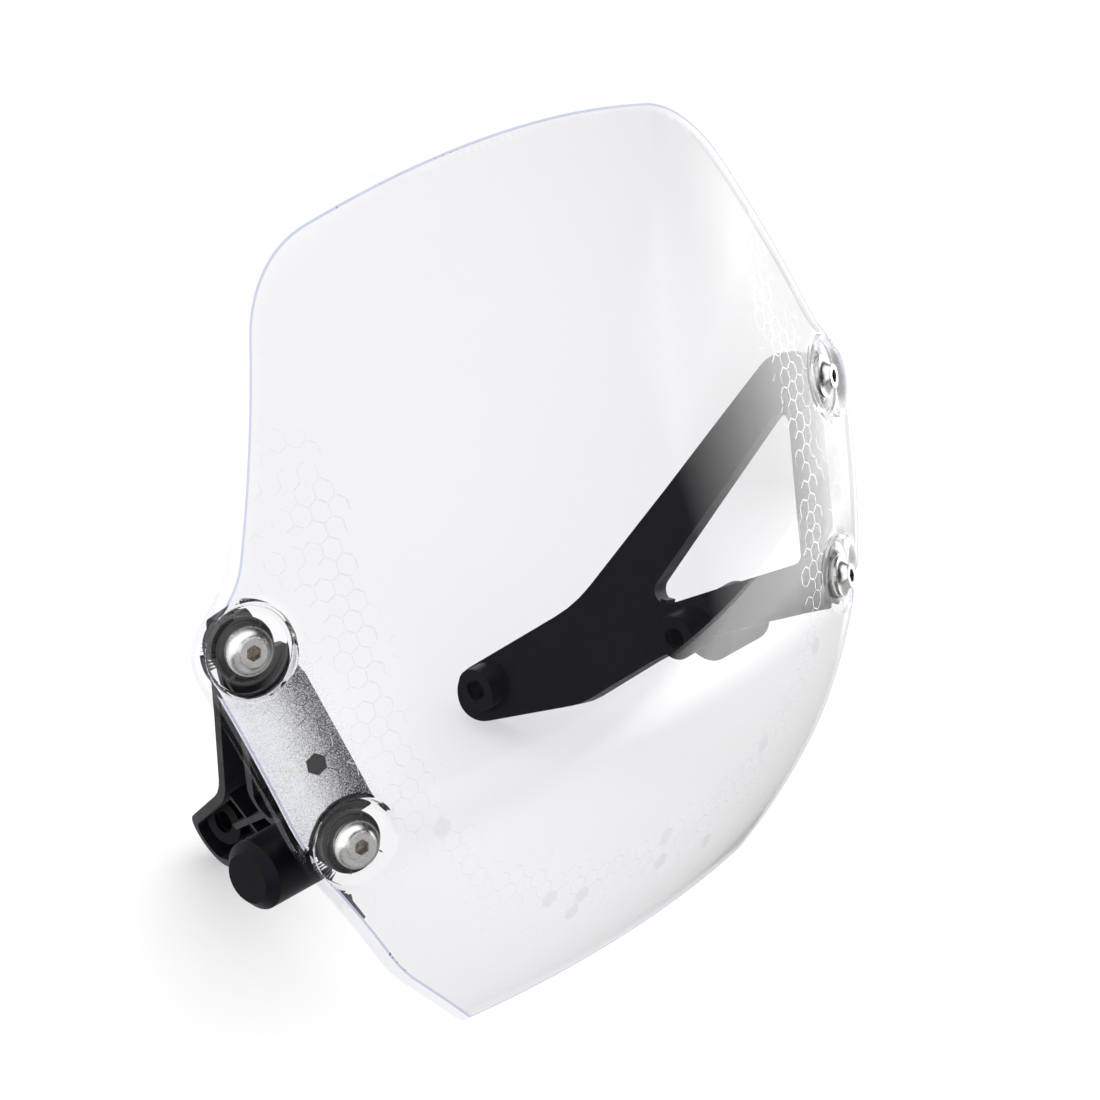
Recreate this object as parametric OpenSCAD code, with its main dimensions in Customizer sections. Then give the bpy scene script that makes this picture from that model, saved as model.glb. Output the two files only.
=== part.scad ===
// Clear motorcycle windshield screen with its pair of moulded mounting brackets.
//
// The design frame has Z up, X to the side and Y to the rear. Its origin is on the middle plane, level
// with the screen's straight bottom edge and touching the foremost point of the front surface. The
// finished part is then pitched back until it stands on the bottom edge and the two arm ends, and moved
// so that the origin is the middle of the footprint on the floor.

/* [Screen sheet] */
// Radius of the screen's foremost horizontal section
bow_radius = 414; // [300:1:600]
// Height of the foremost point above the bottom edge
nose_height = 63.6; // [40:0.1:90]
// Radius of the tucked-in lower part in the side view
chin_radius = 133; // [90:1:300]
// Height above the foremost point at which the lower curve meets the upper curve
chin_rise = 21; // [5:0.5:40]
// Radius of the laid-back upper part in the side view
brow_radius = 398; // [250:1:700]
// Thickness of the clear sheet
sheet_thickness = 4; // [2:0.5:6]

/* [Screen outline] */
// Height of the top edge on the middle plane
screen_height = 251; // [200:1:300]
// Radius of the shallow arch along the top edge
top_radius = 345; // [200:5:800]
// Half the width at the tips of the side ears
ear_half_width = 148.4; // [120:0.1:170]
// Height of the side ears' tips
ear_height = 144.6; // [120:0.1:160]
// Radius of the rounding at the side ears
ear_radius = 14; // [5:1:30]
// Half the width at the hollow where the ear meets the upper dome
neck_half_width = 131.4; // [110:0.1:145]
// Height of that hollow
neck_height = 162.6; // [150:0.1:180]
// Half the length of the straight bottom edge
foot_half_width = 67; // [40:1:90]

/* [Screws and pads] */
// Sideways distance from the middle plane to the middle of a pad
pad_x = 121.5; // [100:0.1:140]
// Setback of the middle of a pad
pad_y = 29.3; // [10:0.1:50]
// Height of the middle of a pad
pad_z = 112.4; // [80:0.1:140]
// Turn of a pad towards the outside, seen from above
pad_splay = 20.75; // [0:0.05:40]
// Upward tip of a pad's face
pad_recline = 13.83; // [0:0.01:30]
// Outward lean of the screw line within the pad's face
pad_lean = 21.1; // [0:0.1:40]
// Distance between the two screws of a pad
screw_spacing = 64.6; // [40:0.1:90]
// Diameter of the pressed recess around each screw
recess_diameter = 26; // [18:0.5:32]
// Diameter of the screw head's flange
flange_diameter = 13.6; // [10:0.1:18]
// Diameter of the screw head's raised rim
rim_diameter = 7.8; // [6:0.1:10]
// Height of the screw head
head_height = 4; // [2:0.1:7]
// Width across the flats of the hexagon socket
socket_flats = 4; // [2.5:0.1:6]
// Thread diameter of the screws
screw_diameter = 6; // [4:0.5:8]
// Length of the screw's shank under the head
screw_length = 14; // [12:1:30]
// Width of the pad strip behind the sheet
pad_width = 24; // [18:0.5:30]
// Thickness of the pad strip
pad_thickness = 3; // [2:0.5:5]

/* [Brackets] */
// Distance from the screw line to the smooth inner side of the bracket
inner_side = 7; // [4:0.5:12]
// Depth of the bracket's channel section next to the pad
channel_depth = 7.5; // [6:0.5:14]
// Widening of the channel towards the rear, in degrees
channel_taper = 2.7; // [0:0.1:6]
// Thickness of the bracket's web
web_thickness = 3.5; // [2:0.5:6]
// Thickness of the bracket's edge flanges
flange_thickness = 3; // [2:0.5:5]
// Diameter of the posts that carry the threaded inserts
post_diameter = 16; // [12:0.5:22]
// Length of the posts
post_length = 7; // [5:0.5:25]

/* [Bosses] */
// Outer diameter of the bosses that meet the motorcycle
boss_diameter = 15; // [12:0.5:20]
// Diameter of the bosses' holes
boss_bore = 7.6; // [6.5:0.1:9]
// Bore of the steel sleeves pressed into them
sleeve_bore = 6.4; // [5.5:0.1:8]
// Depth of the sleeves below the boss faces
sleeve_recess = 1.5; // [0:0.1:3]
// Sideways distance to the front boss's inner face
front_boss_x = 77.7; // [60:0.1:95]
// Setback of the front boss
front_boss_y = 59.6; // [40:0.1:80]
// Height of the front boss
front_boss_z = 61.1; // [40:0.1:80]
// Length of the front boss
front_boss_length = 39; // [20:0.5:50]
// Sideways distance to the rear boss's inner face
rear_boss_x = 50.9; // [40:0.1:70]
// Setback of the rear boss
rear_boss_y = 122.1; // [100:0.1:140]
// Height of the rear boss
rear_boss_z = 31.4; // [15:0.1:45]
// Length of the rear boss
rear_boss_length = 15; // [10:0.5:25]
// Depth of the blind hole in the front boss
front_bore_depth = 30; // [15:0.5:36]
// Diameter of the front boss's outer housing
housing_diameter = 21; // [16:0.5:26]
// Length of that housing
housing_length = 23; // [10:0.5:30]

/* [Rest] */
// Height of the arm ends' lowest point above the bottom edge's level
arm_end_lift = 14.6; // [0:0.1:30]
// Setback of that lowest point
arm_end_setback = 124.2; // [90:0.1:150]
// Setback of the bottom edge's rear corner
foot_setback = 26.2; // [10:0.1:40]
// Distance from the foremost point to the middle of the footprint, after the pitch
middle_setback = 72.92; // [50:0.1:100]

/* [Hidden] */
$fn = 48;
eps = 0.01;
rest_pitch = atan(arm_end_lift / (arm_end_setback - foot_setback));
floor_drop = foot_setback * sin(rest_pitch);
washer_thickness = 0.8;
grommet_flange = 2;
seat_depth = sheet_thickness - washer_thickness;
grommet_front = washer_thickness + seat_depth;
pad_front = grommet_front + grommet_flange;
hole_diameter = 11;
insert_diameter = 8.6;
insert_length = post_length - 1;
corner_step = 10;

sides = ["left", "right"];
rows = ["upper", "lower"];

// ---------------------------------------------------------------- outlines with rounded corners

function unit(v) = v / norm(v);
function left_normal(a, b) = let (e = unit(b - a)) [-e.y, e.x];
function cross2(a, b) = a.x * b.y - a.y * b.x;
function spot(p) = [p.x, p.y];

// Signed turn of a path at corner b.
function turn_at(a, b, c) = let (p = unit(b - a), q = unit(c - b)) atan2(cross2(p, q), p * q);

// Points of the arc of radius r that rounds corner b.
function corner_arc(a, b, c, r) =
    let (
        turn = turn_at(a, b, c),
        bend = turn > 0 ? 1 : -1,
        first = left_normal(a, b),
        last = left_normal(b, c),
        centre = b + bend * r * (first + last) / (1 + first * last),
        start = atan2(-bend * first.y, -bend * first.x),
        steps = max(2, ceil(abs(turn) / corner_step))
    )
    [for (k = [0 : steps]) centre + r * [cos(start + turn * k / steps), sin(start + turn * k / steps)]];

// Closed path of [x, y, corner radius] turned into plain points.
function rounded(path) =
    let (n = len(path))
    [
        for (i = [0 : n - 1])
            each corner_arc(spot(path[(i + n - 1) % n]), spot(path[i]), spot(path[(i + 1) % n]), path[i].z)
    ];

// The same path moved inwards by d; the path runs counter-clockwise.
function inset(path, d) =
    let (n = len(path))
    [
        for (i = [0 : n - 1])
            let (
                a = spot(path[(i + n - 1) % n]),
                b = spot(path[i]),
                c = spot(path[(i + 1) % n]),
                first = left_normal(a, b),
                last = left_normal(b, c),
                moved = b + d * (first + last) / (1 + first * last),
                radius = turn_at(a, b, c) > 0 ? path[i].z - d : path[i].z + d
            )
            [moved.x, moved.y, max(radius, 0.8)]
    ];

// ---------------------------------------------------------------- the screen

// Right-hand half of the front outline as [x, z, corner radius], from the bottom corner upwards.
screen_side = [
    [foot_half_width, 0, 5],
    [102.4, 35.7, 80],
    [131.2, 83, 80],
    [ear_half_width, ear_height, ear_radius],
    [neck_half_width, neck_height, 25],
    [96.3, screen_height - 12.8, 45]
];
screen_path = concat(
    screen_side,
    [[0, screen_height + 8.2, top_radius]],
    [for (i = [len(screen_side) - 1 : -1 : 0]) [-screen_side[i].x, screen_side[i].y, screen_side[i].z]]
);

// Radial section of the sheet: the space between two pairs of tangent arcs, whose centres and
// meeting points all lie on one slanted line.
join_angle = asin(chin_rise / chin_radius);
join_line = [cos(join_angle), sin(join_angle)];
chin_centre = [bow_radius - chin_radius, nose_height];
brow_centre = chin_centre - (brow_radius - chin_radius) * join_line;
join_far = chin_centre + 2 * chin_radius * join_line;

module section_disc(depth) {
    intersection() {
        translate(chin_centre) circle(r = chin_radius - depth, $fn = 180);
        polygon([chin_centre, [chin_centre.x, -20], [join_far.x, -20], join_far]);
    }
    intersection() {
        translate(brow_centre) circle(r = brow_radius - depth, $fn = 360);
        polygon([chin_centre, join_far, [join_far.x, 2 * screen_height], [chin_centre.x, 2 * screen_height]]);
    }
}

// Sweeps a radial section about the upright axis behind the sheet, across the sheet's whole width.
module swept() {
    sweep = 50;
    translate([0, bow_radius, 0])
        rotate([0, 0, -90 - sweep / 2])
            rotate_extrude(angle = sweep, $fn = 180)
                children();
}

module sheet() {
    intersection() {
        swept()
            difference() {
                section_disc(0);
                section_disc(sheet_thickness);
            }
        translate([0, 140, 0])
            rotate([90, 0, 0])
                linear_extrude(180) polygon(rounded(screen_path));
    }
}

// Mirrors its children to the left side, or leaves them on the right.
module sided(side) {
    if (side == "left")
        mirror([1, 0, 0]) children();
    else
        children();
}

// Places its children on one side: X outwards, Y to the rear from the screws' seats, Z up the pad.
module on_pad(side) {
    sided(side)
        translate([pad_x, pad_y, pad_z])
            rotate([0, 0, pad_splay])
                rotate([-pad_recline, 0, 0])
                    rotate([0, pad_lean, 0])
                        children();
}

// The same, moved to one screw.
module at_screw(row, side) {
    on_pad(side)
        translate([0, 0, row == "upper" ? screw_spacing / 2 : -screw_spacing / 2])
            children();
}

// A cylinder along Y from y = start, running to the rear.
module peg(diameter, length, start = 0) {
    translate([0, start, 0]) rotate([-90, 0, 0]) cylinder(d = diameter, h = length);
}

module screen() {
    color([0.92, 0.95, 0.97, 0.35])
        difference() {
            union() {
                sheet();
                intersection() {
                    for (side = sides)
                        for (row = rows)
                            at_screw(row, side) peg(recess_diameter + 3, grommet_front + 10, -10);
                    swept() section_disc(sheet_thickness / 4);
                }
            }
            for (side = sides)
                for (row = rows)
                    at_screw(row, side) {
                        peg(recess_diameter, 12 + washer_thickness, -12);
                        peg(hole_diameter, 20, -5);
                    }
        }
}

// ---------------------------------------------------------------- the brackets

// Outer edge of a bracket's side plate as [distance behind the screw seats, distance up the pad,
// corner radius], counter-clockwise from the foot of the pad.
plate_path = [
    [pad_front, -42, 2],
    [31, -45.5, 60],
    [62, -53, 60],
    [92.5, -67.5, 22],
    [137, -72.2, 9.5],
    [137, -55, 9],
    [91.5, -34.5, 45],
    [56, 1, 150],
    [17, 41, 10],
    [pad_front, 41, 2]
];

// Triangular window of the plate.
window_path = [
    [12.5, -26.5, 3],
    [71, -39.5, 4.5],
    [12.5, 26.5, 3]
];

// Extrudes a plate outline from the given distance inboard of the screw line, outwards.
module plate(inboard, depth) {
    translate([-inboard, 0, 0])
        rotate([90, 0, 90])
            linear_extrude(depth)
                children();
}

module window_wall() {
    difference() {
        polygon(rounded(inset(window_path, -flange_thickness)));
        polygon(rounded(window_path));
    }
}

module edge_wall() {
    difference() {
        polygon(rounded(plate_path));
        polygon(rounded(inset(plate_path, flange_thickness)));
    }
}

// Strip between the two posts that backs the sheet; it reaches further inboard than outboard.
strip_path = [
    [-pad_width / 2, -27, 2],
    [pad_width / 3, -27, 2],
    [pad_width / 3, 27, 2],
    [-pad_width / 2, 27, 2]
];

module pad_strip() {
    translate([0, pad_front + pad_thickness, 0])
        rotate([90, 0, 0])
            linear_extrude(pad_thickness) polygon(rounded(strip_path));
}

// A cylinder along X from the inner face, running outwards.
module boss(x, y, z, diameter, length) {
    translate([x, y, z]) rotate([0, 90, 0]) cylinder(d = diameter, h = length);
}

// Everything outboard of the channel's open face, or of a face lying lower in the channel.
module beyond_channel(lowered) {
    translate([channel_depth - inner_side - lowered, 0, -100])
        rotate([0, 0, -channel_taper])
            translate([0, -50, 0]) cube([60, 300, 200]);
}

// Outline of a reinforcing rib between two points of the plate.
module rib(from, to) {
    run = to - from;
    translate(from)
        rotate(atan2(run.y, run.x))
            translate([0, -1]) square([norm(run), 2]);
}

module front_housing() {
    taper = 3;
    translate([front_boss_x + front_boss_length - housing_length, front_boss_y - 1, front_boss_z - 3])
        rotate([0, 90, 0]) {
            cylinder(d = housing_diameter, h = housing_length - taper);
            translate([0, 0, housing_length - taper])
                cylinder(d1 = housing_diameter, d2 = housing_diameter - 2 * taper, h = taper);
        }
}

module bracket(side) {
    color([0.06, 0.06, 0.065])
        difference() {
            union() {
                on_pad(side) {
                    plate(inner_side, web_thickness)
                        difference() {
                            polygon(rounded(plate_path));
                            polygon(rounded(window_path));
                        }
                    difference() {
                        plate(inner_side, 2 * channel_depth) {
                            edge_wall();
                            window_wall();
                        }
                        beyond_channel(0);
                    }
                    difference() {
                        plate(inner_side - eps, 2 * channel_depth) {
                            rib([66, -38], [104, -52]);
                            rib([84, -52], [92, -37]);
                            rib([60, -35], [66, -52]);
                        }
                        beyond_channel(2);
                    }
                    pad_strip();
                }
                for (row = rows)
                    at_screw(row, side) peg(post_diameter, post_length, pad_front);
                sided(side) {
                    boss(front_boss_x, front_boss_y, front_boss_z, boss_diameter, front_boss_length - 4);
                    front_housing();
                    boss(rear_boss_x, rear_boss_y, rear_boss_z, boss_diameter, rear_boss_length);
                }
            }
            for (row = rows)
                at_screw(row, side) {
                    peg(insert_diameter, insert_length, pad_front - eps);
                    peg(screw_diameter + 0.8, post_length + 1, pad_front - eps);
                }
            sided(side) {
                boss(front_boss_x - 1, front_boss_y, front_boss_z, boss_bore, front_bore_depth + 1);
                boss(rear_boss_x - 1, rear_boss_y, rear_boss_z, boss_bore, rear_boss_length + 2);
            }
        }
}

// ---------------------------------------------------------------- fasteners

// Section of the screw from its axis: a concave flange that sweeps up to a raised rim.
sweep_radius = 3;
module screw_section() {
    difference() {
        square([flange_diameter / 2, head_height]);
        translate([rim_diameter / 2 + sweep_radius, 1 + sweep_radius]) circle(r = sweep_radius);
        translate([rim_diameter / 2, 1 + sweep_radius]) square([flange_diameter, head_height]);
        translate([rim_diameter / 2 + sweep_radius, 1]) square([flange_diameter, head_height]);
    }
    translate([0, -screw_length]) square([screw_diameter / 2, screw_length + eps]);
}

module screw(row, side) {
    color([0.72, 0.73, 0.75])
        at_screw(row, side)
            rotate([90, 0, 0])
                difference() {
                    rotate_extrude() screw_section();
                    translate([0, 0, head_height - 2.4])
                        cylinder(r = socket_flats / sqrt(3), h = 3, $fn = 6);
                }
}

module washer(row, side) {
    color([0.85, 0.85, 0.83])
        at_screw(row, side)
            difference() {
                peg(flange_diameter - 0.6, washer_thickness);
                peg(screw_diameter, washer_thickness + 1, -0.5);
            }
}

// Rubber bush in the sheet's hole with a collar between the sheet and the pad.
module grommet(row, side) {
    color([0.08, 0.08, 0.08])
        at_screw(row, side)
            difference() {
                union() {
                    peg(hole_diameter, seat_depth + 1, washer_thickness);
                    peg(post_diameter + 2, grommet_flange, grommet_front);
                }
                peg(screw_diameter, 20, -1);
            }
}

module insert(row, side) {
    color([0.8, 0.65, 0.3])
        at_screw(row, side)
            difference() {
                peg(insert_diameter, insert_length, pad_front);
                peg(screw_diameter, insert_length + 1, pad_front - 0.5);
            }
}

// Steel sleeve whose inner end lies sleeve_recess below the boss's inner face.
module sleeve(x, y, z, length, side) {
    color([0.35, 0.35, 0.37])
        sided(side)
            difference() {
                boss(x + sleeve_recess, y, z, boss_bore, length);
                boss(x, y, z, sleeve_bore, length + 2 * sleeve_recess);
            }
}

module front_sleeve(side) {
    sleeve(front_boss_x, front_boss_y, front_boss_z, front_bore_depth - sleeve_recess, side);
}

module rear_sleeve(side) {
    sleeve(rear_boss_x, rear_boss_y, rear_boss_z, rear_boss_length - 2 * sleeve_recess, side);
}

// ---------------------------------------------------------------- standing on the floor

module stand() {
    translate([0, -middle_setback, floor_drop])
        rotate([-rest_pitch, 0, 0])
            children();
}

stand() {
    screen();
    bracket("left");  // bracket_left
    bracket("right");  // bracket_right
    screw("upper", "left");  // screw_upper_left
    screw("lower", "left");  // screw_lower_left
    screw("upper", "right");  // screw_upper_right
    screw("lower", "right");  // screw_lower_right
    washer("upper", "left");  // washer_upper_left
    washer("lower", "left");  // washer_lower_left
    washer("upper", "right");  // washer_upper_right
    washer("lower", "right");  // washer_lower_right
    grommet("upper", "left");  // grommet_upper_left
    grommet("lower", "left");  // grommet_lower_left
    grommet("upper", "right");  // grommet_upper_right
    grommet("lower", "right");  // grommet_lower_right
    insert("upper", "left");  // insert_upper_left
    insert("lower", "left");  // insert_lower_left
    insert("upper", "right");  // insert_upper_right
    insert("lower", "right");  // insert_lower_right
    front_sleeve("left");  // sleeve_front_left
    rear_sleeve("left");  // sleeve_rear_left
    front_sleeve("right");  // sleeve_front_right
    rear_sleeve("right");  // sleeve_rear_right
}
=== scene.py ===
import math
import random

import bmesh
import bpy
import numpy as np
from mathutils import Matrix, Vector
from mathutils.geometry import delaunay_2d_cdt


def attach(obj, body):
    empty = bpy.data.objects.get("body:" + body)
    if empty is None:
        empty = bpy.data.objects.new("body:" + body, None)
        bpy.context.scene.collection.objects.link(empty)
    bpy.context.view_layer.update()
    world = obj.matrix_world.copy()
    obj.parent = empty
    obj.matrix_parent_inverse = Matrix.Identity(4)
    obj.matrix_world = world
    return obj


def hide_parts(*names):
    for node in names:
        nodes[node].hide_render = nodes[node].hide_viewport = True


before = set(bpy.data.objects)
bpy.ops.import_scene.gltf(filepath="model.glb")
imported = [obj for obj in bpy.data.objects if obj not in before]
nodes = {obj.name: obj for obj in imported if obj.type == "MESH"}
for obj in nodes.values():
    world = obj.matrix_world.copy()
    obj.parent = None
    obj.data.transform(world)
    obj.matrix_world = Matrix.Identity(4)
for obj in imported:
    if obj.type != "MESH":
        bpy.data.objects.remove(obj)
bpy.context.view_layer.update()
scene = bpy.context.scene
random.seed(7)

# ---------------------------------------------------------------- camera

camera = bpy.data.objects.new("camera", bpy.data.cameras.new("camera"))
scene.collection.objects.link(camera)
right = Vector((0.6492, -0.7523, 0.1121)).normalized()
forward = Vector((0.6905, 0.5212, -0.5018)).normalized()
up = right.cross(forward)
right = forward.cross(up)
camera.matrix_world = Matrix((
    (right.x, up.x, -forward.x, -0.6588),
    (right.y, up.y, -forward.y, -0.5073),
    (right.z, up.z, -forward.z, 0.5989),
    (0, 0, 0, 1),
))
camera.data.lens = 104.73
camera.data.sensor_width = 36
camera.data.clip_start = 0.01
camera.data.clip_end = 100
scene.camera = camera
scene.view_settings.view_transform = "Standard"


# ---------------------------------------------------------------- material tools

class Nodes:
    """Short calls for building one node tree. Positions are in the piece's own metres."""

    def __init__(self, tree):
        self.tree = tree
        tree.nodes.clear()

    def add(self, kind, inputs=None, **settings):
        node = self.tree.nodes.new(kind)
        for key, value in settings.items():
            setattr(node, key, value)
        for key, value in (inputs or {}).items():
            if isinstance(value, bpy.types.NodeSocket):
                self.tree.links.new(value, node.inputs[key])
            else:
                node.inputs[key].default_value = value
        return node

    def math(self, operation, a, b=0.0, c=0.0):
        return self.add("ShaderNodeMath", {0: a, 1: b, 2: c}, operation=operation).outputs[0]

    def vector(self, operation, a, b=(0, 0, 0), out=0):
        return self.add("ShaderNodeVectorMath", {0: a, 1: b}, operation=operation).outputs[out]

    def position(self):
        return self.add("ShaderNodeTexCoord").outputs["Object"]

    def noise(self, scale, detail=2.0, roughness=0.5):
        return self.add("ShaderNodeTexNoise", {
            "Vector": self.position(), "Scale": scale, "Detail": detail, "Roughness": roughness,
        }).outputs["Fac"]

    def ramp(self, factor, *stops):
        node = self.add("ShaderNodeValToRGB", {"Fac": factor})
        elements = node.color_ramp.elements
        while len(elements) < len(stops):
            elements.new(0.5)
        for element, (place, colour) in zip(elements, stops):
            element.position = place
            element.color = (*colour, 1) if isinstance(colour, tuple) else (colour, colour, colour, 1)
        return node.outputs["Color"]

    def spread(self, factor, low, high, to_low, to_high):
        return self.add("ShaderNodeMapRange", {
            "Value": factor, "From Min": low, "From Max": high, "To Min": to_low, "To Max": to_high,
        }).outputs[0]

    def bump(self, height, distance, strength=1.0):
        return self.add("ShaderNodeBump", {
            "Height": height, "Distance": distance, "Strength": strength,
        }).outputs["Normal"]

    def out(self, shader):
        self.add("ShaderNodeOutputMaterial", {"Surface": shader})


def material(name):
    made = bpy.data.materials.new(name)
    made.use_nodes = True
    return made, Nodes(made.node_tree)


def dress(node, made):
    """Gives a carried-over CAD node one material."""
    mesh = nodes[node].data
    if not mesh.materials:
        mesh.materials.append(made)
    for slot in range(len(mesh.materials)):
        mesh.materials[slot] = made


# ---------------------------------------------------------------- materials

def black_plastic():
    """Moulded black plastic with a fine grain."""
    made, n = material("black_plastic")
    cloud = n.noise(28, 3)
    grain = n.noise(2600, 2, 0.6)
    colour = n.ramp(cloud, (0.3, (0.0022, 0.0022, 0.0042)), (0.7, (0.0042, 0.0040, 0.0066)))
    rough = n.spread(n.noise(160, 4), 0.3, 0.7, 0.36, 0.5)
    n.out(n.add("ShaderNodeBsdfPrincipled", {
        "Base Color": colour, "Roughness": rough,
        "Specular IOR Level": 0.13, "Specular Tint": (0.93, 0.92, 1.0, 1),
        "Normal": n.bump(grain, 0.00006, 0.5),
        "Sheen Weight": 0.08, "Sheen Roughness": 0.35, "Sheen Tint": (0.9, 0.9, 1.0, 1),
    }).outputs[0])
    return made


def steel(name, centre, axis, top):
    """Turned stainless: fine rings about the screw's axis, and painted shade that darkens the socket."""
    made, n = material(name)
    offset = n.vector("SUBTRACT", n.position(), tuple(centre))
    radius = n.vector("LENGTH", n.vector("CROSS_PRODUCT", offset, tuple(axis)), out=1)
    rings = n.math("SINE", n.math("MULTIPLY", radius, 26000))
    blotch = n.noise(420, 3)
    colour = n.ramp(blotch, (0.3, (0.72, 0.71, 0.70)), (0.7, (0.84, 0.83, 0.815)))
    depth = n.math("SUBTRACT", top, n.vector("DOT_PRODUCT", offset, tuple(axis), out=1))
    deep, central = n.spread(depth, 0.0002, 0.0009, 0.0, 1.0), n.spread(radius, 0.0023, 0.0026, 1.0, 0.0)
    socket = n.math("MULTIPLY", deep, central)
    # Painted shade: deep in the socket the metal's colour is darkened to a dull brown-grey.
    painted_socket_shade = n.ramp(n.noise(1500, 2), (0.3, (0.16, 0.15, 0.13)), (0.7, (0.40, 0.35, 0.30)))
    colour = n.add("ShaderNodeMix", {0: socket, 6: colour, 7: painted_socket_shade}, data_type="RGBA").outputs[2]
    rough = n.spread(n.noise(900, 2), 0.3, 0.7, 0.24, 0.34)
    n.out(n.add("ShaderNodeBsdfPrincipled", {
        "Base Color": colour, "Metallic": 1.0, "Roughness": rough,
        "Normal": n.bump(rings, 0.000004, 0.6),
    }).outputs[0])
    return made


def plain(name, dark, light, scale, roughness, metallic=0.0, bump=0.00003):
    """A slightly clouded material between two colours."""
    made, n = material(name)
    colour = n.ramp(n.noise(scale, 3), (0.3, dark), (0.7, light))
    rough = n.spread(n.noise(scale * 3, 3), 0.3, 0.7, roughness - 0.06, roughness + 0.06)
    n.out(n.add("ShaderNodeBsdfPrincipled", {
        "Base Color": colour, "Metallic": metallic, "Roughness": rough,
        "Normal": n.bump(n.noise(scale * 8, 2), bump, 0.5),
    }).outputs[0])
    return made


def lamp_rays(n):
    """1 for the rays that carry lamp light to other pieces, which the glass lets straight through."""
    path = n.add("ShaderNodeLightPath")
    return n.math("MAXIMUM", path.outputs["Is Shadow Ray"], path.outputs["Is Diffuse Ray"])


def clear_sheet():
    """Clear polycarbonate."""
    made, n = material("clear_sheet")
    tint = n.ramp(n.noise(9, 2), (0.3, (0.955, 0.958, 0.972)), (0.7, (0.970, 0.972, 0.984)))
    rough = n.spread(n.noise(30, 2), 0.3, 0.7, 0.0, 0.012)
    glass = n.add("ShaderNodeBsdfPrincipled", {
        "Base Color": tint, "Roughness": rough, "IOR": 1.58, "Transmission Weight": 1.0,
    }).outputs[0]
    open_glass = n.add("ShaderNodeBsdfTransparent", {"Color": (0.95, 0.95, 0.955, 1)}).outputs[0]
    lamps = lamp_rays(n)
    n.out(n.add("ShaderNodeMixShader", {0: lamps, 1: glass, 2: open_glass}).outputs[0])
    return made


def sheet_edge(name, colour, share):
    """The polished rim, which lets most of the light straight through."""
    made, n = material(name)
    tint = n.ramp(n.noise(40, 2), (0.3, tuple(0.98 * c for c in colour)), (0.7, colour))
    glass = n.add("ShaderNodeBsdfPrincipled", {
        "Base Color": tint, "Roughness": 0.03, "IOR": 1.58, "Transmission Weight": 1.0,
    }).outputs[0]
    clear = n.add("ShaderNodeBsdfTransparent", {"Color": tint}).outputs[0]
    lamps = lamp_rays(n)
    open_share = n.math("MAXIMUM", lamps, share)
    n.out(n.add("ShaderNodeMixShader", {0: open_share, 1: glass, 2: clear}).outputs[0])
    return made


def glowing_white_print():
    """The opaque white lines and cells of the print, with a painted glow that brightens them."""
    made, n = material("glowing_white_print")
    colour = n.ramp(n.noise(900, 2), (0.3, (0.80, 0.805, 0.82)), (0.7, (0.88, 0.88, 0.89)))
    n.out(n.add("ShaderNodeBsdfPrincipled", {
        "Base Color": colour, "Roughness": 0.7,
        # Painted light: a faint glow brightens the white print.
        "Emission Color": (0.95, 0.96, 1.0, 1), "Emission Strength": 0.1,
    }).outputs[0])
    return made


# ---------------------------------------------------------------- the sheet's shape, in millimetres

# Radius of the bow, height of the foremost point, radius of the chin arc, its rise, radius of the brow.
BOW, NOSE, CHIN, RISE, BROW = 414.0, 63.6, 133.0, 21.0, 398.0
THICK = 4.0
ARM_LIFT, ARM_BACK, FOOT_BACK, MIDDLE = 14.6, 124.2, 26.2, 72.92
JOIN = math.asin(RISE / CHIN)
PITCH = math.atan(ARM_LIFT / (ARM_BACK - FOOT_BACK))
DROP = FOOT_BACK * math.sin(PITCH)
CHIN_R = BOW - CHIN
BROW_R = CHIN_R - (BROW - CHIN) * math.cos(JOIN)
BROW_Z = NOSE - (BROW - CHIN) * math.sin(JOIN)
# Corners of the outline on the right, each with its rounding.
SIDE = [
    (67, 0, 5), (102.4, 35.7, 80), (131.2, 83, 80),
    (148.4, 144.6, 14), (131.4, 162.6, 25), (96.3, 238.2, 45),
]
PATH = SIDE + [(0, 259.2, 345)] + [(-x, z, r) for x, z, r in reversed(SIDE)]


def to_row(points):
    """From the upright sheet's millimetres to the frame's metres."""
    p = np.asarray(points, float)
    c, s = math.cos(PITCH), math.sin(PITCH)
    return np.stack([
        p[..., 0], p[..., 1] * c + p[..., 2] * s - MIDDLE, -p[..., 1] * s + p[..., 2] * c + DROP,
    ], -1) / 1000


def from_row(points):
    """The reverse of to_row."""
    p = np.asarray(points, float) * 1000
    c, s = math.cos(PITCH), math.sin(PITCH)
    y, z = p[..., 1] + MIDDLE, p[..., 2] - DROP
    return np.stack([p[..., 0], y * c - z * s, y * s + z * c], -1)


def rho_slope(h):
    """The section's distance from the upright axis at each height, and its slope."""
    chin = np.sqrt(np.maximum(CHIN ** 2 - (h - NOSE) ** 2, 1))
    brow = np.sqrt(BROW ** 2 - (h - BROW_Z) ** 2)
    low = h <= NOSE + RISE
    rho = np.where(low, CHIN_R + chin, BROW_R + brow)
    return rho, np.where(low, -(h - NOSE) / chin, -(h - BROW_Z) / brow)


def skin(spots, depth=0.0):
    """Points of the sheet depth below its front surface, and the front surface's normals."""
    x, h = spots[:, 0], spots[:, 1]
    rho, slope = rho_slope(h)
    back = np.sqrt(rho ** 2 - x ** 2)
    normal = np.stack([x, -back, -rho * slope], -1)
    normal /= np.linalg.norm(normal, axis=1)[:, None]
    return np.stack([x, BOW - back, h], -1) - normal * np.reshape(depth, (-1, 1)), normal


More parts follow.
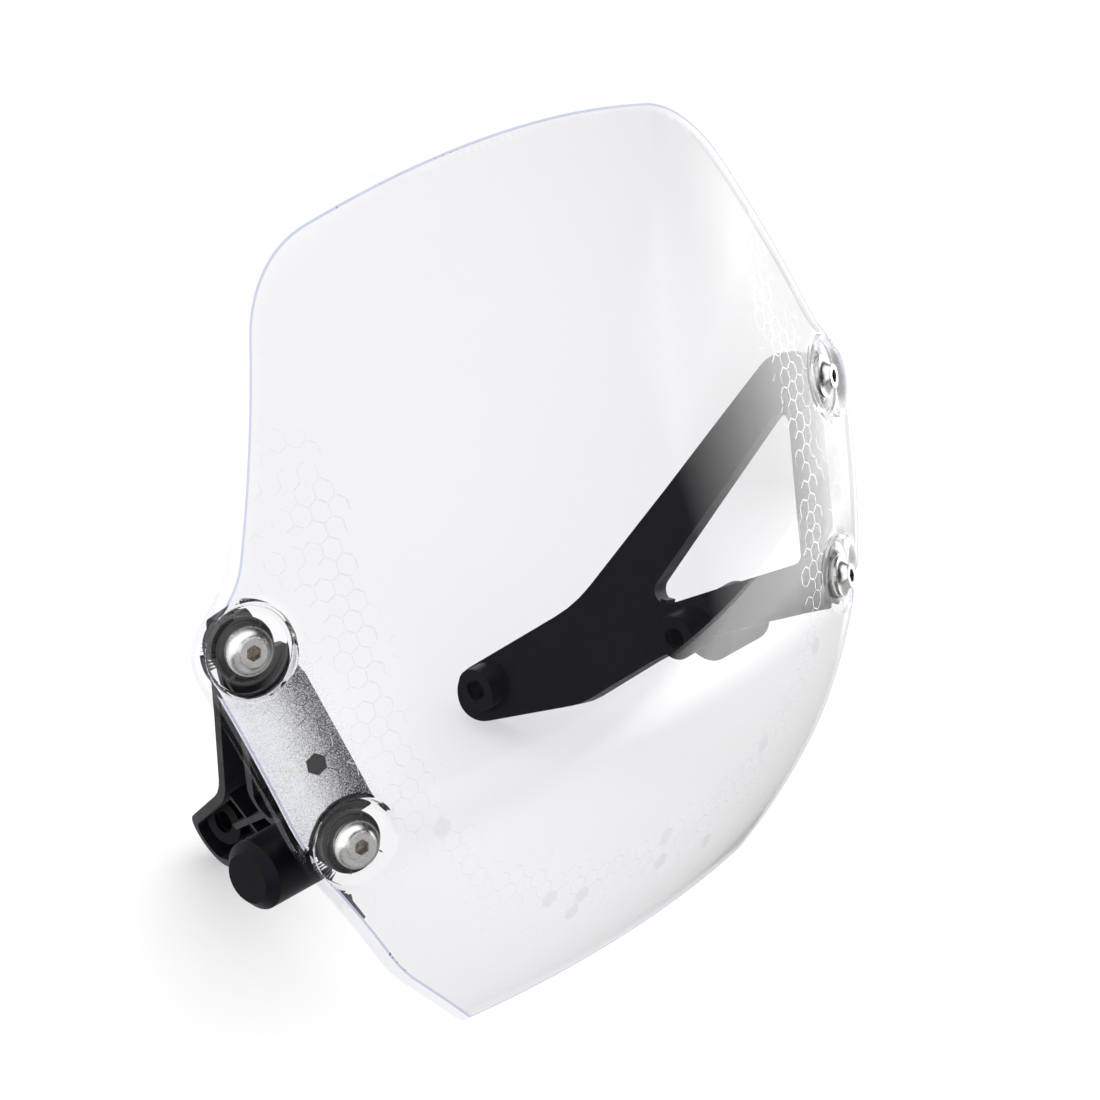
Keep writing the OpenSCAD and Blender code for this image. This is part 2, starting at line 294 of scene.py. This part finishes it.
def fine_outline(step=1.6):
    """The outline with rounded corners, as evenly spaced points, anticlockwise."""
    count = len(PATH)
    points = []
    for i in range(count):
        a, b, c = (np.array(PATH[(i + k) % count][:2], float) for k in (-1, 0, 1))
        p, q = (b - a) / np.linalg.norm(b - a), (c - b) / np.linalg.norm(c - b)
        turn = math.atan2(p[0] * q[1] - p[1] * q[0], p @ q)
        first, last = np.array([-p[1], p[0]]), np.array([-q[1], q[0]])
        bend = 1 if turn > 0 else -1
        r = PATH[i][2]
        centre = b + bend * r * (first + last) / (1 + first @ last)
        start = math.atan2(-bend * first[1], -bend * first[0])
        for k in range(25):
            angle = start + turn * k / 24
            points.append(centre + r * np.array([math.cos(angle), math.sin(angle)]))
    points = np.array(points)
    loop = np.vstack([points, points[:1]])
    run = np.concatenate([[0], np.cumsum(np.linalg.norm(np.diff(loop, axis=0), axis=1))])
    total = run[-1]
    places = np.linspace(0, total, int(total / step) + 1)[:-1]
    return np.stack([np.interp(places, run, loop[:, 0]), np.interp(places, run, loop[:, 1])], -1)


OUTLINE = fine_outline()
along = np.roll(OUTLINE, -1, 0) - np.roll(OUTLINE, 1, 0)
INWARD = np.stack([-along[:, 1], along[:, 0]], -1)
INWARD /= np.linalg.norm(INWARD, axis=1)[:, None]


def edge_distance(spots):
    """Distance from each spot to the outline."""
    a, b = OUTLINE, np.roll(OUTLINE, -1, 0)
    best = np.full(len(spots), 1e9)
    for start in range(0, len(a), 64):
        p, q = a[start:start + 64], b[start:start + 64]
        run = q - p
        t = np.clip(((spots[:, None] - p) * run).sum(-1) / (run ** 2).sum(-1), 0, 1)
        best = np.minimum(best, np.linalg.norm(spots[:, None] - p - t[..., None] * run, axis=-1).min(1))
    return best


def turned(degrees, axis):
    return np.array(Matrix.Rotation(math.radians(degrees), 3, axis))


# Screw seats: the pad's frame on the right, X outwards, Y to the rear, Z up the pad.
PAD = turned(20.75, "Z") @ turned(-13.83, "X") @ turned(21.1, "Y")
PAD_MIDDLE = np.array([121.5, 29.3, 112.4])
# Each seat has its centre, its axis towards the front, and the directions across and up its pad.
SEATS = {}
for row, rise in (("upper", 32.3), ("lower", -32.3)):
    for side, sign in (("right", 1), ("left", -1)):
        flip = np.array([sign, 1, 1])
        centre = (PAD_MIDDLE + PAD[:, 2] * rise) * flip
        SEATS[f"{row}_{side}"] = (centre, -PAD[:, 1] * flip, PAD[:, 0] * flip, PAD[:, 2] * flip)

# Radii of the dish in the front surface, of the cup in the back one and of the hole.
DISH, CUP, HOLE = 13.0, 13.5, 5.5
# Heights of the dish's floor and of the cup's along the seat's axis.
FLOOR, BACK = -0.8, -4.0
# Widths of the outline's rounding on the two surfaces.
EDGE_FRONT, EDGE_BACK = 3.4, 2.6


def axis_gap(points, seat):
    """Distance from each point to a seat's axis."""
    centre, axis = SEATS[seat][:2]
    offset = points - centre
    return np.linalg.norm(offset - (offset @ axis)[:, None] * axis, axis=1)


def rounding(distance, width):
    """How far the surface has sunk at a distance from the edge, for a rounded edge of that width."""
    t = np.clip(1 - distance / width, 0, 1)
    return THICK / 2 * (1 - np.sqrt(np.maximum(1 - t ** 2, 0)))


def dished(points, back):
    """Moves points into the round dishes about the screws."""
    floor_height, brink, slant = (BACK, CUP + 0.9, 2.0) if back else (FLOOR, DISH + 0.8, 2.2)
    moved = points.copy()
    for seat, (centre, axis, _, _) in SEATS.items():
        height = (points - centre) @ axis
        radius = axis_gap(points, seat)
        goal = np.minimum(height, floor_height)
        reach = np.clip((brink - radius) / slant, 0, 1)
        reach = reach * reach * (3 - 2 * reach)
        near = (radius < 20) & (np.abs(height) < 15)
        shift = np.where(near, (goal - height) * reach, 0)
        moved += shift[:, None] * axis
    return moved


def spots_under(target, axis, depth):
    """Spots on the outline plane whose surface points meet lines through the targets along an axis."""
    spots = target[:, [0, 2]].copy()
    for _ in range(12):
        offset = skin(spots, depth)[0] - target
        miss = offset - (offset @ axis)[:, None] * axis
        spots -= miss[:, [0, 2]]
    return spots


def ring_spots(seat, radius, back, count=72):
    """Spots on the outline plane whose surface points lie on a cylinder about a screw."""
    centre, axis, across, along = SEATS[seat]
    angles = np.arange(count) * 2 * math.pi / count
    target = centre + radius * (np.cos(angles)[:, None] * across + np.sin(angles)[:, None] * along)
    return spots_under(target, axis, THICK if back else 0)


def within(points, polygon):
    """Which points lie inside a polygon."""
    inside = np.zeros(len(points), bool)
    for (x0, y0), (x1, y1) in zip(polygon, np.roll(polygon, -1, 0)):
        if abs(y1 - y0) > 1e-9:
            crosses = (y0 > points[:, 1]) != (y1 > points[:, 1])
            inside ^= crosses & (points[:, 0] < (x1 - x0) * (points[:, 1] - y0) / (y1 - y0) + x0)
    return inside


class Plan:
    """Spots on the outline plane, with closed loops of edges among them, for one triangulation."""

    def __init__(self):
        self.spots, self.edges = [], []

    def loop(self, points):
        base = sum(len(s) for s in self.spots)
        self.spots.append(np.array(points))
        count = len(points)
        self.edges.extend((base + i, base + (i + 1) % count) for i in range(count))

    def triangles(self, inner):
        flat = np.vstack(self.spots)
        found = delaunay_2d_cdt([Vector(p) for p in flat], self.edges, [], 1 if inner else 0, 1e-4)
        return np.array([tuple(v) for v in found[0]]), [tuple(f) for f in found[2]]


def sheet_side(back):
    """Triangles of the sheet's front or back surface, in millimetres."""
    width = EDGE_BACK if back else EDGE_FRONT
    plan = Plan()
    for share in 1 - np.cos(np.radians(np.arange(0, 91, 11.25))):
        plan.loop(OUTLINE + INWARD * width * share)
    # Rings about each screw: the hole, the floor, and the slope up to the brink.
    brink, slope = (CUP + 0.95, 2.1) if back else (DISH + 0.85, 2.3)
    radii = [HOLE, 9] + [brink - slope * k / 7 for k in range(8)]
    for seat in SEATS:
        for radius in radii:
            ring = ring_spots(seat, radius, back)
            clear = edge_distance(ring)
            if clear.min() < width * 0.75:
                plan.spots.append(ring[clear > width * 0.75])
            else:
                plan.loop(ring)
    # An even grid of spots over the rest.
    pitch = 3.0
    grid = []
    for j, h in enumerate(np.arange(1, 254, pitch * 0.866)):
        for x in np.arange(-150, 150, pitch):
            grid.append((x + (pitch / 2 if j % 2 else 0), h))
    grid = np.array(grid)
    grid = grid[within(grid, OUTLINE)]
    grid = grid[edge_distance(grid) > width + 1.0]
    points, _ = skin(grid, THICK if back else 0)
    for seat in SEATS:
        keep = axis_gap(points, seat) > (CUP if back else DISH) + 1.6
        grid, points = grid[keep], points[keep]
    plan.spots.append(grid)
    places, faces = plan.triangles(True)
    distance = edge_distance(places)
    sunk = rounding(np.where(distance < 1e-3, 0, distance), width)
    points, _ = skin(places, THICK - sunk if back else sunk)
    points = dished(points, back)
    # Drop what lies inside the screws' holes.
    middles = np.array([points[list(f)].mean(0) for f in faces])
    solid = np.ones(len(faces), bool)
    for seat in SEATS:
        solid &= axis_gap(middles, seat) > HOLE * 0.995
    return points, [f for f, keep in zip(faces, solid) if keep]


def sheet_mesh():
    """The closed sheet: both surfaces, joined at the outline and through the screws' holes."""
    bm = bmesh.new()
    for back in (False, True):
        points, faces = sheet_side(back)
        made = [bm.verts.new(p) for p in to_row(points)]
        for face in faces:
            bm.faces.new([made[i] for i in (reversed(face) if back else face)])
    bmesh.ops.delete(bm, geom=[v for v in bm.verts if not v.link_faces], context="VERTS")
    bmesh.ops.remove_doubles(bm, verts=bm.verts, dist=2e-6)
    rims = [e for e in bm.edges if len(e.link_faces) == 1]
    for centre, _, _, _ in SEATS.values():
        c = Vector(to_row(centre))
        near = [e for e in rims if (e.verts[0].co - c).length < 0.008]
        bmesh.ops.bridge_loops(bm, edges=near)
    bmesh.ops.recalc_face_normals(bm, faces=bm.faces)
    open_edges = sum(1 for e in bm.edges if len(e.link_faces) != 2)
    print("sheet: faces", len(bm.faces), "open edges", open_edges)
    mesh = bpy.data.meshes.new("screen_sheet")
    bm.to_mesh(mesh)
    bm.free()
    mesh.shade_smooth()
    return mesh


def piece(name, mesh, made, slot, *replaced):
    """A piece of the visual model, on the part's only body."""
    thing = bpy.data.objects.new(name, mesh)
    scene.collection.objects.link(thing)
    mesh.materials.append(made)
    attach(thing, "root")
    if replaced:
        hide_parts(*replaced)
    return thing


sheet = piece("screen_sheet", sheet_mesh(), clear_sheet(), "clear_sheet", "screen")
sheet.data.materials.append(sheet_edge("sheet_edge", (0.965, 0.967, 0.98), 0.93))
# Painted shade: the thin corner strip where the rim meets the front surface is tinted blue-grey, which
# darkens it.
sheet.data.materials.append(sheet_edge("sheet_corner_painted_shade", (0.60, 0.63, 0.76), 0.9))


# How far in from the outline the rim and its corner reach in front, and the rim behind.
RIM_FRONT, CORNER_FRONT, RIM_BACK = 2.7, 3.36, 3.6
# How far the view through the rim runs sideways and up between the two surfaces.
RIM_SLANT = np.array([3.8, -2.8])


def dress_rim(mesh):
    """Gives the rim, and the thin corner where it meets the front surface, their own materials."""
    middles = from_row(np.array([f.center for f in mesh.polygons]))
    spots = middles[:, [0, 2]]
    surface, normals = skin(spots)
    depths = ((surface - middles) * normals).sum(1)
    gaps = edge_distance(spots)
    slanted = edge_distance(spots - RIM_SLANT)
    glass, rim, corner = range(3)
    for face, gap, slant, depth in zip(mesh.polygons, gaps, slanted, depths):
        if depth < THICK / 2:
            face.material_index = rim if gap < RIM_FRONT else corner if gap < CORNER_FRONT else glass
        else:
            face.material_index = rim if min(gap, slant) < RIM_BACK else glass


dress_rim(sheet.data)

# ---------------------------------------------------------------- the print: honeycomb lines and cells

# Width of a cell, from its middle to a corner, and the middle of the cell left clear over the pad.
CELL = 120 / 21
REACH = CELL / math.sqrt(3)
CLEAR_CELL = (120.0, 108.3)


def cell_centres():
    """Honeycomb over the sheet's outline plane, mirrored about the middle, with corners up and down."""
    rise = REACH * 1.5
    for j in range(-22, 31):
        for i in range(-54, 54):
            x, z = (i + (0.5 if j % 2 else 0)) * CELL, CLEAR_CELL[1] + j * rise
            if 2 < z < 250 and abs(x) < 150:
                yield x, z


def corners(x, z, size=REACH):
    """A cell's six corners."""
    angles = [math.radians(60 * k) for k in range(6)]
    return [(x + size * math.sin(a), z + size * math.cos(a)) for a in angles]


def cell_sides(x, z):
    """A cell's six sides, each with a key that it shares with the neighbouring cell's side."""
    ring = corners(x, z)
    for (x0, z0), (x1, z1) in zip(ring, ring[1:] + ring[:1]):
        yield x0, z0, x1, z1, (round((x0 + x1) * 5), round((z0 + z1) * 5))


# Inner line of the printed band, on the right: down past the screws and across below the middle.
BAND = np.array([
    (97, 172), (99, 150), (97, 118), (89, 84), (73, 60), (48, 46), (24, 39), (0, 37),
], float)


def band_distance(x, z):
    """Distance from the band's inner line, positive outwards."""
    p = np.array([abs(x), z])
    a, b = BAND[:-1], BAND[1:]
    run = b - a
    t = np.clip(((p - a) * run).sum(1) / (run ** 2).sum(1), 0, 1)
    away = p - a - t[:, None] * run
    gaps = np.linalg.norm(away, axis=1)
    k = int(np.argmin(gaps))
    side = run[k, 0] * away[k, 1] - run[k, 1] * away[k, 0]
    return float(gaps[k] if side > 0 else -gaps[k])


def pad_place(spots):
    """Places across and up the right-hand pad, for spots on the outline plane."""
    points, _ = skin(spots, THICK)
    return (points - PAD_MIDDLE) @ PAD[:, 0], (points - PAD_MIDDLE) @ PAD[:, 2]


def pad_spots(across, along):
    """The reverse of pad_place."""
    target = PAD_MIDDLE + np.outer(across, PAD[:, 0]) + np.outer(along, PAD[:, 2])
    return spots_under(target, PAD[:, 1], THICK)


def seat_gap(spots):
    """Distance from the back surface's points to the nearest screw's axis."""
    points, _ = skin(spots, THICK)
    return np.min([axis_gap(points, seat) for seat in SEATS], axis=0)


def strip(x0, z0, x1, z1, half):
    """A straight line of the print, as a thin rectangle."""
    dx, dz = x1 - x0, z1 - z0
    length = math.hypot(dx, dz)
    nx, nz = -dz / length * half, dx / length * half
    return [(x0 - nx, z0 - nz), (x1 - nx, z1 - nz), (x1 + nx, z1 + nz), (x0 + nx, z0 + nz)]


# The frosted patch's inner edge across the pad, and its ends up and down the pad.
FROST_INNER, FROST_END = -15.0, 33.0
# The band's width, how far its last stray lines lie inside, and the border it keeps to the outline.
BAND_WIDTH, BAND_STRAYS, PRINT_BORDER = 26, -7, 8
# How far the print and the frost lie behind the front surface.
PRINT_DEPTH, FROST_DEPTH = THICK + 0.04, THICK + 0.03


def print_mesh():
    """Thin printed strips and cells just behind the sheet's back surface."""
    flat_verts, faces = [], []
    seen = set()
    for x, z in cell_centres():
        gap = band_distance(x, z)
        spot = np.array([(abs(x), z)])
        if not BAND_STRAYS <= gap <= BAND_WIDTH:
            continue
        if seat_gap(spot)[0] < CUP + 3.6 or edge_distance(spot)[0] < PRINT_BORDER:
            continue
        across, along = pad_place(spot)
        frosted = across[0] > FROST_INNER + 1 and abs(along[0]) < FROST_END
        strength = math.exp(-max(gap - 6, 0) / 9) if gap > -3 else 0.25
        strength *= 1.0 if z > 88 else 0.62
        if frosted:
            strength *= 0.5
        for x0, z0, x1, z1, key in cell_sides(x, z):
            if key in seen:
                continue
            seen.add(key)
            if not -1 < gap < 8 and random.random() > strength * 1.05:
                continue
            half = 0.06 + 0.2 * strength * random.uniform(0.5, 1)
            dx, dz = x1 - x0, z1 - z0
            cut = random.uniform(0.0, 0.12)
            base = len(flat_verts)
            flat_verts += strip(x0 + dx * cut, z0 + dz * cut, x1 - dx * cut, z1 - dz * cut, half)
            faces.append((base, base + 1, base + 2, base + 3))
        if z < 90 and -2 < gap < 20 and random.random() < 0.04:
            base = len(flat_verts)
            flat_verts += corners(x, z, REACH * 0.9)
            faces.append(tuple(range(base, base + 6)))
    points, _ = skin(np.array(flat_verts), PRINT_DEPTH)
    mesh = bpy.data.meshes.new("honeycomb_print")
    mesh.from_pydata([tuple(p) for p in to_row(points)], [], faces)
    mesh.update()
    return mesh


def frost_mesh(side):
    """The frosted patch over one pad, between the dishes, with a clear cell and clear lines."""
    inner = EDGE_BACK + 0.8
    edge = OUTLINE + INWARD * inner
    across, along = pad_place(edge)
    outer = edge[(np.abs(along) < FROST_END) & (edge[:, 0] > 90)]
    outer = outer[np.argsort(outer[:, 1])]
    steps = np.linspace(FROST_END, -FROST_END, 40)
    border = np.vstack([outer, pad_spots(np.full(40, FROST_INNER), steps)])
    holes = [np.array(corners(*CLEAR_CELL, REACH * 0.98))]
    seen = set()
    for x, z in cell_centres():
        if x < 60:
            continue
        a, b = pad_place(np.array([(x, z)]))
        if not (-13.5 < a[0] < -3 and -16 < b[0] < 22):
            continue
        for x0, z0, x1, z1, key in cell_sides(x, z):
            if key in seen or random.random() > (0.75 if a[0] < -7 else 0.3):
                continue
            seen.add(key)
            holes.append(np.array(strip(x0, z0, x1, z1, random.uniform(0.06, 0.13))))
    plan = Plan()
    for points in [border] + holes:
        plan.loop(points)
    for row in ("upper", "lower"):
        plan.spots.append(ring_spots(f"{row}_right", CUP + 1.0, True, 64))
    xs, zs = np.meshgrid(np.arange(85, 150, 1.6), np.arange(60, 170, 1.6))
    plan.spots.append(np.stack([xs.ravel(), zs.ravel()], -1))
    places, faces = plan.triangles(False)
    middles = np.array([places[list(f)].mean(0) for f in faces])
    keep = within(middles, border) & (seat_gap(middles) > CUP + 0.98)
    for hole in holes:
        keep &= ~within(middles, hole)
    points, _ = skin(places, FROST_DEPTH)
    points = points * np.array([1 if side == "right" else -1, 1, 1])
    kept = [f if side == "right" else tuple(reversed(f)) for f, k in zip(faces, keep) if k]
    bm = bmesh.new()
    made = [bm.verts.new(p) for p in to_row(points)]
    for face in kept:
        bm.faces.new([made[i] for i in face])
    bmesh.ops.delete(bm, geom=[v for v in bm.verts if not v.link_faces], context="VERTS")
    mesh = bpy.data.meshes.new(f"frost_{side}")
    bm.to_mesh(mesh)
    bm.free()
    return mesh


def frost(side):
    """White stipple, dense at the sheet's outer edge and thinner towards the pad's inner edge."""
    made, n = material(f"frost_{side}")
    flip = np.array([1 if side == "right" else -1, 1, 1])
    origin, reach = to_row(PAD_MIDDLE * flip), to_row((PAD_MIDDLE + PAD[:, 0]) * flip)
    lift = to_row((PAD_MIDDLE + PAD[:, 2]) * flip)
    offset = n.vector("SUBTRACT", n.position(), tuple(origin))
    across = n.vector("DOT_PRODUCT", offset, tuple((reach - origin) * 1000), out=1)
    along = n.vector("DOT_PRODUCT", offset, tuple((lift - origin) * 1000), out=1)
    dense = n.spread(across, -0.0075, 0.0055, 0.26, 1.02)
    lower = n.spread(along, -0.03, 0.01, -0.16, 0.0)
    inner = n.spread(across, -0.015, -0.011, 0.0, 1.0)
    cover = n.math("MULTIPLY", n.math("ADD", dense, lower), inner)
    dots = n.math("SUBTRACT", n.noise(3300, 1, 0.5), 0.5)
    cloud = n.math("SUBTRACT", n.noise(160, 3), 0.5)
    grains = n.math("MULTIPLY_ADD", dots, 1.9, n.math("MULTIPLY_ADD", cloud, 0.2, cover))
    alpha = n.math("MINIMUM", n.math("MAXIMUM", n.math("MULTIPLY", grains, inner), 0.0), 1.0)
    # Painted shade: the right-hand patch's white is darkened to half, as that patch lies in shade.
    white = 0.9 if side == "left" else 0.5
    darker_grain = (white * 0.94, white * 0.945, white * 0.97)
    colour = n.ramp(n.noise(700, 2), (0.3, darker_grain), (0.7, white))
    grain = n.add("ShaderNodeBsdfDiffuse", {"Color": colour}).outputs[0]
    clear = n.add("ShaderNodeBsdfTransparent").outputs[0]
    n.out(n.add("ShaderNodeMixShader", {0: alpha, 1: clear, 2: grain}).outputs[0])
    return made


piece("honeycomb_print", print_mesh(), glowing_white_print(), "clear_sheet")
for side in ("left", "right"):
    piece(f"frost_{side}", frost_mesh(side), frost(side), "clear_sheet")

# ---------------------------------------------------------------- materials of the carried-over parts

plastic = black_plastic()
rubber = plain("rubber", (0.012, 0.012, 0.013), (0.02, 0.02, 0.021), 90, 0.6)
nylon = plain("nylon", (0.62, 0.62, 0.6), (0.72, 0.72, 0.7), 120, 0.4)
brass = plain("brass", (0.6, 0.42, 0.16), (0.7, 0.52, 0.22), 300, 0.3, 1.0, 0.00001)
dark_steel = plain("sleeve_steel", (0.05, 0.05, 0.055), (0.09, 0.09, 0.095), 260, 0.38, 1.0, 0.00001)
for side in ("left", "right"):
    dress(f"bracket_{side}", plastic)
    for place in ("front", "rear"):
        dress(f"sleeve_{place}_{side}", dark_steel)
for name, (centre, axis, _, _) in SEATS.items():
    start = to_row(centre)
    line = to_row(centre + axis) - start
    line /= np.linalg.norm(line)
    screw = nodes[f"screw_{name}"]
    top = max(float((np.array(screw.matrix_world @ v.co) - start) @ line) for v in screw.data.vertices)
    dress(f"screw_{name}", steel(f"steel_{name}", start, line, top))
    dress(f"grommet_{name}", rubber)
    dress(f"washer_{name}", nylon)
    dress(f"insert_{name}", brass)

# ---------------------------------------------------------------- floor and light

# Levels of light: the floor's own glow seen directly, its white through the sheet, and in the blacks' gloss.
GLOW, THROUGH_WHITE, IN_GLOSS = 0.22, 1.075, 0.06
# Where the mirrored table ends, along its own direction, in metres.
TABLE_END = 0.81


def floor():
    """A pale floor that looks different seen directly, through the sheet and mirrored in it."""
    mesh = bpy.data.meshes.new("floor")
    bm = bmesh.new()
    bmesh.ops.create_grid(bm, x_segments=8, y_segments=8, size=6)
    bm.to_mesh(mesh)
    bm.free()
    thing = bpy.data.objects.new("floor", mesh)
    scene.collection.objects.link(thing)
    made, n = material("floor")
    colour = n.ramp(n.noise(3, 2), (0.0, (0.86, 0.86, 0.865)), (1.0, (0.88, 0.88, 0.885)))
    matt = n.add("ShaderNodeBsdfDiffuse", {"Color": colour}).outputs[0]
    bright = n.add("ShaderNodeEmission", {"Strength": GLOW}).outputs[0]
    direct = n.add("ShaderNodeAddShader", {0: matt, 1: bright}).outputs[0]
    path = n.add("ShaderNodeLightPath")
    # Through the sheet it is an even white, and in reflections it shows a painted reflection of a white
    # table that ends at its edge, brighter further along.
    through = n.math("GREATER_THAN", path.outputs["Transmission Depth"], 0.5)
    flat_white = n.add("ShaderNodeEmission", {"Strength": THROUGH_WHITE}).outputs[0]
    even = n.add("ShaderNodeMixShader", {0: 0.4, 1: flat_white, 2: matt}).outputs[0]
    # Painted shade: the floor seen through the sheet's right half is darkened, making room for what the
    # sheet mirrors there.
    sideways = n.vector("DOT_PRODUCT", n.position(), (0.6492, -0.7523, 0), out=1)
    away = n.vector("DOT_PRODUCT", n.position(), (0.6905, 0.5212, 0), out=1)
    lower = n.math(
        "MULTIPLY", n.spread(sideways, 0.072, 0.135, 0.0, 0.66), n.spread(away, 0.17, 0.24, 0.0, 1.0),
    )
    unlit = n.add("ShaderNodeEmission", {"Strength": 0.0}).outputs[0]
    even = n.add("ShaderNodeMixShader", {0: lower, 1: even, 2: unlit}).outputs[0]
    plain_view = n.add("ShaderNodeMixShader", {0: through, 1: direct, 2: even}).outputs[0]
    reach = n.vector("DOT_PRODUCT", n.position(), (0.95, -0.30, 0), out=1)
    aside = n.vector("DOT_PRODUCT", n.position(), (0.30, 0.95, 0), out=1)
    level = n.math("MAXIMUM", n.math(
        "MULTIPLY", n.spread(reach, 0.3, 0.55, 0.5, 2.3), n.spread(aside, -0.42, -0.24, 0.12, 1.0),
    ), n.math("MULTIPLY", through, IN_GLOSS))
    table = n.add("ShaderNodeEmission", {"Strength": level}).outputs[0]
    beyond = n.add("ShaderNodeBsdfTransparent").outputs[0]
    past = n.math("GREATER_THAN", reach, TABLE_END)
    mirror = n.add("ShaderNodeMixShader", {0: past, 1: table, 2: beyond}).outputs[0]
    mirrored = n.math("GREATER_THAN", path.outputs["Glossy Depth"], 0.5)
    n.out(n.add("ShaderNodeMixShader", {0: mirrored, 1: plain_view, 2: mirror}).outputs[0])
    mesh.materials.append(made)


floor()

# The world: even white light, and soft boxes to the right, left, above and behind when it is mirrored.
world = bpy.data.worlds.new("studio")
scene.world = world
world.use_nodes = True
w = Nodes(world.node_tree)
direction = w.add("ShaderNodeTexCoord").outputs["Generated"]
path = w.add("ShaderNodeLightPath")
mirrored = w.math("GREATER_THAN", path.outputs["Glossy Depth"], 0.5)
sideways = w.vector("DOT_PRODUCT", direction, (0.80, 0.60, 0.0), out=1)
leftwards = w.vector("DOT_PRODUCT", direction, (-0.62, -0.78, 0.0), out=1)
height = w.vector("DOT_PRODUCT", direction, (0, 0, 1), out=1)
low_band = w.spread(height, 0.12, 0.30, 1.0, 0.0)
from_side = w.math("MULTIPLY", w.spread(sideways, 0.28, 0.62, 0.02, 2.6), low_band)
from_left = w.math("MULTIPLY", w.spread(leftwards, 0.52, 0.80, 0.0, 0.9), low_band)
from_top = w.spread(height, 0.66, 0.85, 0.0, 1.5)
from_behind = w.spread(w.vector("DOT_PRODUCT", direction, (-1, 0, 0), out=1), 0.05, 0.4, 0.0, 1.4)
crossings = path.outputs["Transmission Depth"]
inner = w.math("MULTIPLY", w.math("GREATER_THAN", crossings, 0.5), IN_GLOSS)
# Light that came in through the clear rim crosses the sheet's glass only once, on its way out.
rim_light = w.math("MULTIPLY", w.math("COMPARE", crossings, 1.0, 0.1), 0.9)
studio = from_side
for source in (from_top, from_left, inner, from_behind, rim_light):
    studio = w.math("MAXIMUM", studio, source)
level = w.add("ShaderNodeMix", {0: mirrored, 2: 1.12, 3: studio}, data_type="FLOAT").outputs[0]
back = w.add("ShaderNodeBackground", {"Color": (1.0, 1.0, 1.0, 1), "Strength": level}).outputs[0]
w.add("ShaderNodeOutputWorld", {"Surface": back})
